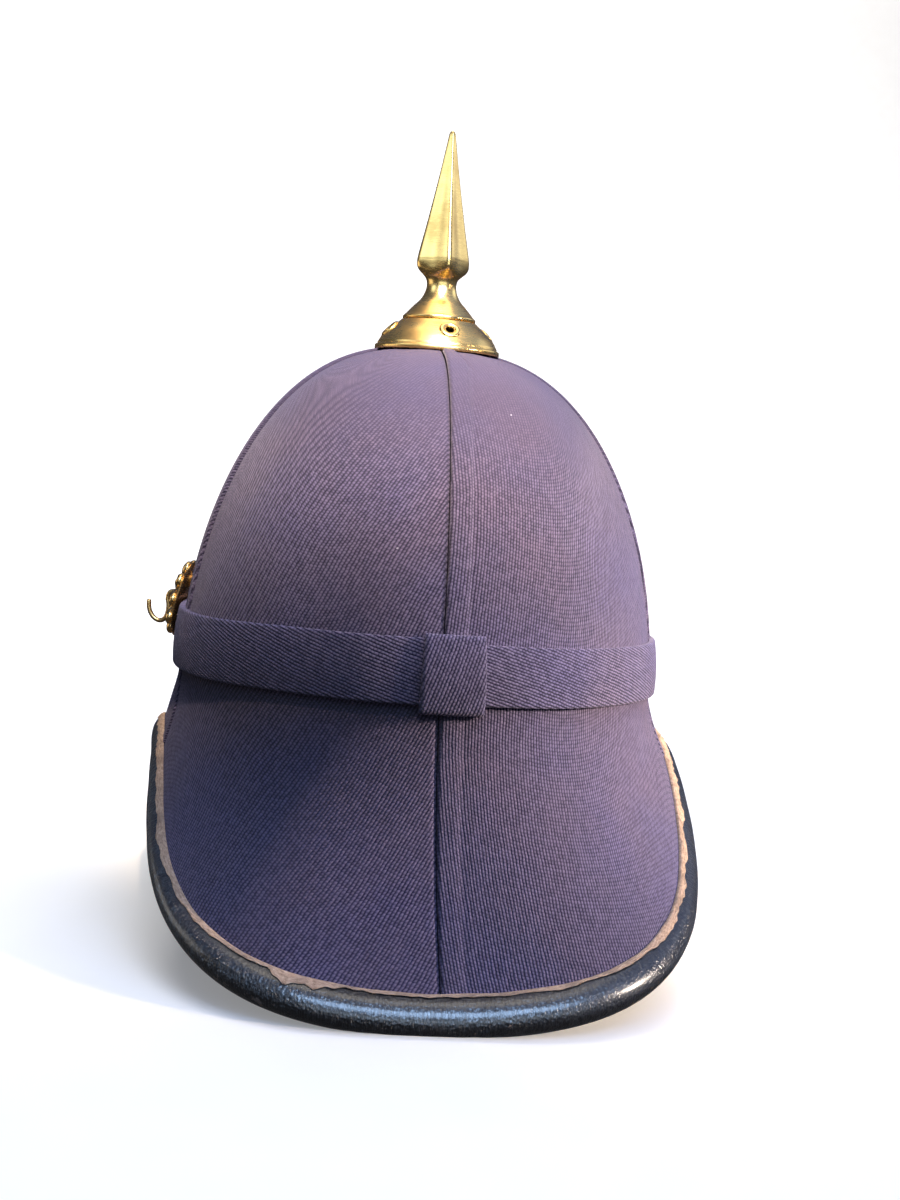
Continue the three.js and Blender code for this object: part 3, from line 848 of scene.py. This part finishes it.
def make_raw_edge():
    angle = round_turns(RAW_COLUMNS)
    width = RAW_EDGE["width"] + wobble(angle, "raw_width") + wobble(angle, "raw_fringe")
    ragged = 1 + wobble(angle, "raw_tear")
    for degrees, reach, extra in TORN:
        turn = turn_from(angle, degrees)
        width = width + extra * ragged * np.exp(-(turn / math.radians(reach)) ** 4)
    width = np.maximum(width, RAW_EDGE["least"])
    top = RAW_EDGE["top"] + wobble(angle, "raw_top")
    lift = 1 + wobble(angle, "raw_lift")
    share, out = np.array(RAW_SECTION).T
    spread = angle[:, None] + 0 * share
    up = top[:, None] - width[:, None] * share
    bulge = np.array(BINDING_ROLL[:BULGE_ROWS])[::-1]
    over_leather = share > RAW_EDGE["cloth_share"]
    on_leather = np.interp(up, bulge[:, 0], bulge[:, 1]) + RAW_EDGE["thick"] * over_leather
    out = np.where(over_leather, np.maximum(out * lift[:, None], on_leather), out)
    loops = stand_off(brim_line, spread, up, out)
    down = np.append(share, share[0]) * RAW_EDGE["width"]
    shape = Shape()
    shape.sweep(on_ground(loops), rim_weave(angle, down), ring=True)
    return shape.piece("leather_raw_edge", [raw_edge_leather], "leather")


make_binding()
make_raw_edge()


# Spike and its base

FINIAL = {"seat": 229.5, "turn": -8}
FINIAL_TURN = Matrix.Rotation(math.radians(-FINIAL["turn"]), 4, "Z")
FINIAL_PLACE = Matrix.Translation((0, 0, FINIAL["seat"] * MM)) @ FINIAL_TURN
SPIKE_TURNS = 96
SPIKE = {"hollow": 0.05, "ridge": 0.945, "ridge_soft": 34}
# Rise, distance to a ridge, and squareness from round to four-sided
SPIKE_ROWS = [
    (12.8, 14.6, 0), (13, 15, 0), (13.9, 15, 0), (14.4, 14.6, 0), (15, 13.9, 0), (16.4, 12.7, 0),
    (18.7, 10.6, 0),
    (21, 8.4, 0), (23.8, 6.8, 0), (27, 6.1, 0), (29.6, 6.7, 0.1), (31.4, 8.6, 0.4), (33, 10.6, 0.75),
    (34.8, 11.6, 0.95), (37.2, 11.7, 1), (40.5, 11.1, 1), (54, 8.1, 1), (72, 4.4, 0.9),
    (86.4, 1.75, 0.6), (88.6, 1.3, 0.3), (89.5, 0.7, 0),
]
BASE_SIDES = 144
BASE_PROFILE = [
    (12, 10.8), (13.6, 10.8), (18.6, 6.8), (22.6, 2.2), (22.6, 0), (25.5, -0.4), (25.75, -0.15),
    (25.75, 1.35),
    (25.5, 1.6), (24.9, 1.75), (24.7, 2.1), (24.75, 2.6), (24.4, 3.1), (23.4, 5), (21.4, 7.3), (19.3, 9.2),
    (17.2, 10.9), (15.7, 12.2), (15.4, 12.5), (12, 12.5),
]
VENT = {"count": 4, "radius": 20, "rise": 7.6, "hole": 1.9, "border": 3.2, "wire": 1.2, "flatness": 0.8,
        "lean": 45, "lift": 0.35}
VENT_SIDES = {"round": 40, "wire": 14, "reach": 6, "middle": 0.01}


def make_spike():
    turns = round_turns(SPIKE_TURNS)
    rise, half, square = smooth_through(SPIKE_ROWS, 7).T
    square = np.clip(square, 0, 1)
    quarter = math.pi / 2
    across = turns % quarter
    flat = math.cos(quarter / 2) / np.cos(across - quarter / 2)
    faces = flat * (1 - SPIKE["hollow"] * np.sin(2 * across) ** 2)
    soft = SPIKE["ridge_soft"]
    faces = -np.log(np.exp(-soft * faces) + np.exp(-soft * SPIKE["ridge"])) / soft
    radius = half[:, None] * (1 + (faces - 1) * square[:, None])
    loops = placed(turns + 0 * radius, radius, rise[:, None])
    shape = Shape()
    shape.sweep(loops)
    rim = list(range(SPIKE_TURNS))
    last = (len(rise) - 1) * SPIKE_TURNS
    shape.fan(rim, (0, 0, rise[0]))
    shape.fan([last + k for k in rim], (0, 0, rise[-1] + 0.2))
    return shape.piece("brass_spike", [spike_brass], "brass", ["spike"], FINIAL_PLACE)


def vent_place(k):
    """The frame of one vent on the base's dome, with z along the vent's axis."""
    turn = Matrix.Rotation(2 * math.pi * k / VENT["count"], 4, "Z")
    seat = Matrix.Translation(Vector((0, VENT["radius"], VENT["rise"])) * MM)
    return turn @ seat @ Matrix.Rotation(-math.radians(VENT["lean"]), 4, "X")


def pierce(piece, cutters):
    """Cuts round holes through a piece and leaves a plain mesh."""
    for cutter in cutters:
        cut = piece.modifiers.new("vent", "BOOLEAN")
        cut.operation = "DIFFERENCE"
        cut.object = cutter
        cut.solver = "EXACT"
    graph = bpy.context.evaluated_depsgraph_get()
    pierced = bpy.data.meshes.new_from_object(piece.evaluated_get(graph))
    piece.modifiers.clear()
    piece.data = pierced
    pierced.set_sharp_from_angle(angle=math.radians(SHARP_DEGREES))
    for cutter in cutters:
        bpy.data.objects.remove(cutter)


def make_base():
    shape = Shape()
    shape.sweep(lathe_loops(BASE_PROFILE, BASE_SIDES), ring=True)
    piece = shape.piece("brass_base", [spike_brass], "brass", ["spike_base"], FINIAL_PLACE)
    hole, reach, middle = VENT["hole"], VENT_SIDES["reach"], VENT_SIDES["middle"]
    profile = [(middle, -reach), (hole, -reach), (hole, reach), (middle, reach)]
    cutters = []
    for k in range(VENT["count"]):
        bar = Shape()
        bar.sweep(lathe_loops(profile, VENT_SIDES["round"]), ring=True)
        place = FINIAL_PLACE @ vent_place(k)
        cutters.append(bar.piece(f"vent_cutter_{k}", [spike_brass], "brass", (), place))
    pierce(piece, cutters)
    return piece


def make_vent_borders():
    turns = round_turns(VENT_SIDES["wire"])
    radius = VENT["border"] + VENT["wire"] * np.cos(turns)
    rise = VENT["lift"] + VENT["flatness"] * VENT["wire"] * np.sin(turns)
    loops = lathe_loops(np.stack([radius, rise], -1), VENT_SIDES["round"])
    shape = Shape()
    for k in range(VENT["count"]):
        place = np.array(vent_place(k))
        shape.sweep(loops @ place[:3, :3].T + place[:3, 3] / MM, ring=True)
    return shape.piece("brass_vent_borders", [spike_brass], "brass", (), FINIAL_PLACE)


make_spike()
make_base()
make_vent_borders()


# Side rosettes, the left one with a chain hook: local x runs up the crown, z stands out from it

BOSS = {"left": 106, "right": -113, "above_band": -4, "stand_off": 4.1, "lean": 12.5}
BOSS_POST = {"radius": 3.4, "up": 8.4, "foot": 1.2}
PLATE_SIDES = 120
PLATE_EDGE = 17.1
PLATE = [
    (0.4, 0), (15.8, 0), (16.7, 0.25), (PLATE_EDGE, 0.9), (16.6, 1.4), (13.2, 2.8), (9.2, 4.2), (4, 4.7),
    (0.4, 4.8),
]
SCALLOP = {"count": 10, "depth": 0.5, "from_radius": 12}
PETALS = [
    {"count": 10, "radius": 11.9, "long": 4.9, "wide": 4.0, "high": 2.7, "lift": 2.7},
    {"count": 6, "radius": 5.7, "long": 4.4, "wide": 3.3, "high": 2.6, "lift": 4.3},
]
PETAL_FORM = {"middle": 0.82, "plump": 0.18, "crease": 0.32, "crease_width": 0.28}
PETAL_STEPS = {"along": 14, "round": 18}
BUTTON = [(0.3, 4.6), (2.7, 4.6), (2.9, 5.7), (2.3, 6.7), (1.2, 7.2), (0.3, 7.3)]
HOOK_WIRE = 2
HOOK_ROUTE = [
    (1.2, 3), (1.4, 6), (0.2, 8.4), (-2.4, 8.7), (-5.2, 7.6), (-8.6, 7.1), (-11.6, 7.7), (-13, 10),
    (-12, 13), (-9.4, 15.2), (-6.2, 16.3),
]
HOOK_STEPS = {"span": 9, "round": 14, "end": 4}
HOOK_BLUNT = {"root": 0.25, "tip": 0.02}


def petal_loops(petal):
    """One leaf, plump at its outer end and creased down its middle, lying along local x."""
    along = np.cos(np.linspace(math.pi, 0, PETAL_STEPS["along"] + 2))[1:-1, None]
    turn = round_turns(PETAL_STEPS["round"])
    full = np.sqrt(1 - along ** 2) * (PETAL_FORM["middle"] + PETAL_FORM["plump"] * along)
    across = np.cos(turn) * full * petal["wide"]
    dent = np.exp(-(np.cos(turn) / PETAL_FORM["crease_width"]) ** 2)
    crease = 1 - PETAL_FORM["crease"] * dent * (np.sin(turn) > 0)
    height = np.sin(turn) * full * petal["high"] * crease
    return np.stack([along * petal["long"] + 0 * across, across, height], -1)


def hook_loops():
    """A round wire swept along its bent route, with rounded ends."""
    route = smooth_through(HOOK_ROUTE, HOOK_STEPS["span"])
    tangent = np.gradient(route, axis=0)
    tangent /= np.linalg.norm(tangent, axis=1, keepdims=True)
    half = HOOK_WIRE / 2
    turns = np.linspace(0, math.pi / 2, HOOK_STEPS["end"], endpoint=False)
    last = len(route) - 1
    root, tip = np.sin(turns + HOOK_BLUNT["root"]), np.cos(turns + HOOK_BLUNT["tip"])
    size = np.concatenate([root, np.ones(last - 1), tip])
    reach = np.concatenate([-half * np.cos(turns), np.zeros(last - 1), half * np.sin(turns)])
    spot = np.concatenate([[0] * len(turns), np.arange(1, last), [last] * len(turns)]).astype(int)
    centre = route[spot] + tangent[spot] * reach[:, None]
    side = np.stack([-tangent[spot][:, 1], tangent[spot][:, 0]], -1)
    turn = round_turns(HOOK_STEPS["round"])
    wide = half * size[:, None] * np.cos(turn)
    up = centre[:, :1] + side[:, :1] * wide
    out = centre[:, 1:] + side[:, 1:] * wide
    return np.stack([up, half * size[:, None] * np.sin(turn), out], -1)


def closed_tube(shape, loops):
    """Sweeps a tube and closes both of its ends."""
    first = shape.count
    shape.sweep(loops)
    size = loops.shape[1]
    last = first + (len(loops) - 1) * size
    shape.fan(list(range(first, first + size)), loops[0].mean(0))
    shape.fan(list(range(last, last + size)), loops[-1].mean(0))


def rosette_place(degrees):
    """The frame of a rosette on the crown, with x up the crown and z out of it."""
    angle = np.array(math.radians(degrees))
    rise = np.array(float(BAND["height"] + BOSS["above_band"]))
    foot = crown_line(angle, rise)
    outward = stand_off(crown_line, angle, rise, 1) - foot
    lean = math.radians(BOSS["lean"])
    up = Vector((-math.sin(lean), 0, math.cos(lean)))
    out = Vector((math.cos(lean), 0, math.sin(lean)))
    basis = Matrix((up, out.cross(up), out)).transposed().to_4x4()
    turn = Matrix.Rotation(math.atan2(outward[1], outward[0]), 4, "Z")
    return Matrix.Translation(Vector(foot) * MM) @ turn @ basis


def make_rosette(name, node, degrees, hooked):
    seat = np.array([0, 0, BOSS["stand_off"]])
    shape = Shape()
    plate = lathe_loops(PLATE, PLATE_SIDES)
    turns = np.arctan2(plate[..., 0], plate[..., 1])
    radius = np.hypot(plate[..., 0], plate[..., 1])
    edge = smoothstep(SCALLOP["from_radius"], PLATE_EDGE, radius)
    notch = (1 + np.cos(SCALLOP["count"] * turns + math.pi)) / 2
    shrink = 1 - edge * SCALLOP["depth"] * notch / PLATE_EDGE
    plate[..., :2] *= shrink[..., None]
    shape.sweep(plate + seat, ring=True)
    shape.sweep(lathe_loops(BUTTON, PLATE_SIDES // 3) + seat, ring=True)
    foot, width, head = BOSS_POST["foot"], BOSS_POST["radius"], BOSS["stand_off"] + GAP
    post = lathe_loops([(0.3, foot), (width, foot), (width, head), (0.3, head)], PLATE_SIDES // 3)
    shape.sweep(post + np.array([BOSS_POST["up"], 0, 0]), ring=True)
    for petal in PETALS:
        leaf = petal_loops(petal) + np.array([petal["radius"], 0, petal["lift"]]) + seat
        for k in range(petal["count"]):
            turn = 2 * math.pi * (k + 0.5) / petal["count"]
            spin = np.array(Matrix.Rotation(turn, 3, "Z"))
            closed_tube(shape, leaf @ spin.T)
    if hooked:
        closed_tube(shape, hook_loops() + seat)
    return shape.piece(name, [rosette_brass], "brass", [node], rosette_place(degrees))


make_rosette("rosette_left", "side_boss_left", BOSS["left"], hooked=True)
make_rosette("rosette_right", "side_boss_right", BOSS["right"], hooked=False)


# Floor, light and camera

FLOOR_GLOW = 0.3
BACKDROP_COLOUR = (0.80, 0.81, 0.83)
BACKDROP = {"near": 6, "far": -2.2, "bend": 1.5, "top": 5, "half_width": 8, "bend_steps": 24}


def make_floor():
    """A pale floor that sweeps up into a wall, and neither lights the helmet nor mirrors in it."""
    material, tree, shader = new_material(
        "pale_floor", Roughness=0.85, Specular_IOR_Level=0.1,
        Emission_Color=(*BACKDROP_COLOUR, 1), Emission_Strength=FLOOR_GLOW)
    grain = noise(tree, object_place(tree), 40, 2)
    pale = ramp(tree, grain, [(0.3, (0.86, 0.75, 0.58)), (0.7, (0.89, 0.78, 0.60))])
    tree.links.new(pale, shader.inputs["Base Color"])
    turns = np.linspace(0, math.pi / 2, BACKDROP["bend_steps"])
    bend = BACKDROP["bend"]
    run = [BACKDROP["near"], *(BACKDROP["far"] - bend * np.sin(turns)), BACKDROP["far"] - bend]
    height = [0, *(bend * (1 - np.cos(turns))), BACKDROP["top"]]
    wide = BACKDROP["half_width"]
    points = [(x, y, z) for y, z in zip(run, height) for x in (-wide, wide)]
    faces = [(2 * k, 2 * k + 1, 2 * k + 3, 2 * k + 2) for k in range(len(run) - 1)]
    mesh = bpy.data.meshes.new("floor")
    mesh.from_pydata(points, [], faces)
    mesh.polygons.foreach_set("use_smooth", np.ones(len(faces), bool))
    mesh.materials.append(material)
    floor = bpy.data.objects.new("floor", mesh)
    bpy.context.scene.collection.objects.link(floor)
    floor.visible_diffuse = False
    floor.visible_glossy = False


SKY_AXIS = (-0.34, 0.10, 0.935)
WORLD = [
    (0.4, (0.05, 0.05, 0.055)), (0.5, (0.05, 0.06, 0.09)), (0.78, (0.08, 0.11, 0.21)),
    (1.0, (0.32, 0.45, 0.85)),
]


def make_world():
    """Soft cool light, gathered overhead and a little to the right, round a plain pale backdrop."""
    world = bpy.data.worlds.new("studio")
    bpy.context.scene.world = world
    world.use_nodes = True
    tree = world.node_tree
    tree.nodes.clear()
    direction = add_node(tree, "TexCoord")
    facing = add_node(tree, "VectorMath", {0: direction, 1: SKY_AXIS}, output=1,
                      operation="DOT_PRODUCT")
    rise = math_node(tree, "MULTIPLY_ADD", facing, 0.5, 0.5)
    light = add_node(tree, "Background", {"Color": ramp(tree, rise, WORLD), "Strength": 1.0})
    backdrop = add_node(tree, "Background", {"Color": (*BACKDROP_COLOUR, 1), "Strength": 1.0})
    seen = add_node(tree, "LightPath")
    shown = add_node(tree, "MixShader", {0: seen, 1: light, 2: backdrop})
    out = tree.nodes.new("ShaderNodeOutputWorld")
    tree.links.new(shown, out.inputs[0])


SPOTS = [
    {"name": "key", "place": (-0.88, 0.40, 0.38), "aim": (-0.09, 0.055, 0.085), "cone": 19, "blend": 1.0,
     "softness": 0.08, "power": 133, "colour": (1.0, 0.84, 0.72)},
    {"name": "crown", "place": (0.0, 0.60, 1.02), "aim": (0.003, 0.046, 0.217), "cone": 12.2, "blend": 0.95,
     "softness": 0.045, "power": 186, "colour": (1.0, 0.84, 0.69)},
]
WHOLE_SPREAD = 180
# A box marked as seen by matt or gloss lights only surfaces of that kind
SOFT_BOXES = [
    {"name": "wall", "place": (0, -1.5, 2.6), "aim": (0, -2.7, 0.3), "size": (2.4, 2.4),
     "power": 140, "colour": (0.88, 0.96, 1.16), "seen": "matt"},
    {"name": "sky", "place": (-0.42, 0.36, 1.2), "aim": (0, 0.02, 0.1), "size": (1.0, 1.0),
     "power": 9.6, "colour": (0.29, 0.47, 1.0), "seen": "matt"},
    {"name": "left", "place": (0.50, 0.20, 0.54), "aim": (0, 0, 0.31), "size": (0.6, 0.3), "spread": 45,
     "power": 0.13, "colour": (0.56, 0.70, 0.84), "seen": "gloss"},
    {"name": "right", "place": (-0.50, -0.20, 0.54), "aim": (0, 0, 0.31), "size": (0.6, 0.3), "spread": 45,
     "power": 0.085, "colour": (0.62, 0.72, 0.84), "seen": "gloss"},
    {"name": "overhead", "place": (0, -0.05, 1.0), "aim": (0, 0, 0.25), "size": (0.6, 0.5), "spread": 90,
     "power": 0.62, "colour": (1.0, 0.86, 0.6), "seen": "gloss"},
    {"name": "front", "place": (-0.08, 1.05, 0.85), "aim": (0, 0.1, 0.15), "size": (1.1, 0.5),
     "power": 24, "colour": (0.45, 0.66, 1.0), "seen": "gloss"},
    {"name": "low", "place": (-0.10, 1.05, 0.16), "aim": (0, 0.15, 0.02), "size": (1.2, 0.24),
     "power": 2.4, "colour": (0.72, 0.86, 1.0), "seen": "gloss"},
    {"name": "side", "place": (0.75, -0.1, 0.2), "aim": (0.1, -0.03, 0.118), "size": (0.5, 0.3),
     "power": 0.6, "colour": (1.0, 0.93, 0.85), "seen": "gloss"},
]


def make_light(kind, row):
    lamp = bpy.data.lights.new(row["name"], kind)
    lamp.energy = row["power"]
    lamp.color = row["colour"]
    holder = bpy.data.objects.new(row["name"], lamp)
    holder.location = row["place"]
    holder.rotation_euler = (Vector(row["aim"]) - holder.location).to_track_quat("-Z", "Y").to_euler()
    bpy.context.scene.collection.objects.link(holder)
    return lamp


def make_lights():
    for row in SPOTS:
        spot = make_light("SPOT", row)
        spot.spot_size = math.radians(row["cone"])
        spot.spot_blend = row["blend"]
        spot.shadow_soft_size = row["softness"]
    for row in SOFT_BOXES:
        box = make_light("AREA", row)
        box.shape = "RECTANGLE"
        box.size, box.size_y = row["size"]
        box.spread = math.radians(row.get("spread", WHOLE_SPREAD))
        holder = bpy.data.objects[row["name"]]
        holder.visible_diffuse = row.get("seen") != "gloss"
        holder.visible_glossy = row.get("seen") != "matt"


def make_camera():
    """Seen from behind, a little from the wearer's left, with the spike leaning to the right."""
    azimuth, elevation, roll = (math.radians(CAMERA[k]) for k in ("azimuth", "elevation", "roll"))
    level = math.cos(elevation)
    back = Vector((math.sin(azimuth) * level, math.cos(azimuth) * level, math.sin(elevation)))
    right = Vector((-math.cos(azimuth), math.sin(azimuth), 0))
    up = back.cross(right)
    centre = Vector((0, 0, CAMERA["axis_height"]))
    eye = centre + back * CAMERA["distance"]
    target = centre + right * CAMERA_AIM["right"] + up * CAMERA_AIM["up"]
    away = (eye - target).normalized()
    level_right = Vector((0, 0, 1)).cross(away).normalized()
    level_up = away.cross(level_right)
    right = level_right * math.cos(roll) + level_up * math.sin(roll)
    up = level_up * math.cos(roll) - level_right * math.sin(roll)
    data = bpy.data.cameras.new("camera")
    data.lens, data.sensor_width = CAMERA_LENS["focal"], CAMERA_LENS["sensor"]
    data.clip_start = 0.01
    camera = bpy.data.objects.new("camera", data)
    camera.matrix_world = Matrix.Translation(eye * MM) @ Matrix((right, up, away)).transposed().to_4x4()
    bpy.context.scene.collection.objects.link(camera)
    bpy.context.scene.camera = camera


make_floor()
make_world()
make_lights()
make_camera()
bpy.context.scene.view_settings.view_transform = "Standard"
